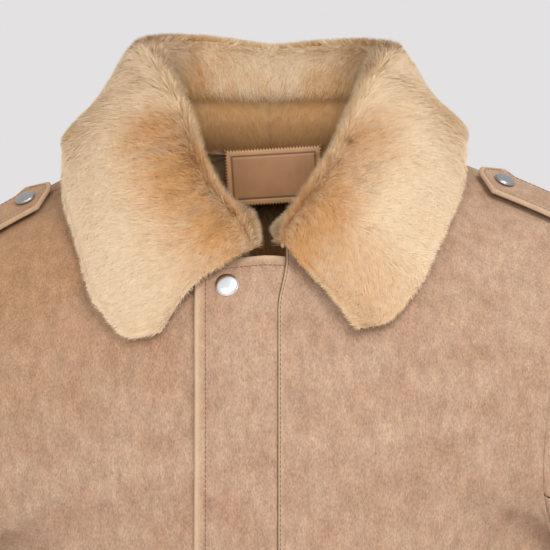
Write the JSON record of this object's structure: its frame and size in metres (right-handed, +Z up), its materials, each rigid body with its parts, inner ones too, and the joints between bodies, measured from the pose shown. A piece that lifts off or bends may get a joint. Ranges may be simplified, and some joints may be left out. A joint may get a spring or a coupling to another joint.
{
  "type": "suede jacket with fur collar",
  "caption": "Hip-length suede jacket with a wide fur collar, fly front, shoulder straps and two-piece sleeves, filled out as if worn.",
  "frame": {"origin": "midway between the tops of the two shoulders beside the neck, where a wearer carries the jacket", "axes": "+X to the wearer's left, +Y to the back of the jacket, +Z up; the closing faces -Y"},
  "size_m": [0.7068, 0.2639, 0.7715],
  "materials": {
    "suede": "napped suede",
    "fur": "soft dense fur",
    "smooth_leather": "smooth satin leather",
    "polished_metal": "polished nickel"
  },
  "bodies": {
    "root": {"back": "suede", "back_lining": "fur", "collar_left": "fur", "collar_right": "fur", "collar_stand": "fur", "epaulette_left": "suede", "epaulette_right": "suede", "front_left": "suede", "front_right": "suede", "label": "smooth_leather", "placket": "suede", "sleeve_left_under": "suede", "sleeve_left_upper": "suede", "sleeve_right_under": "suede", "sleeve_right_upper": "suede", "snap_epaulette_left": "polished_metal", "snap_epaulette_right": "polished_metal", "snap_front": "polished_metal"}
  },
  "joints": []
}
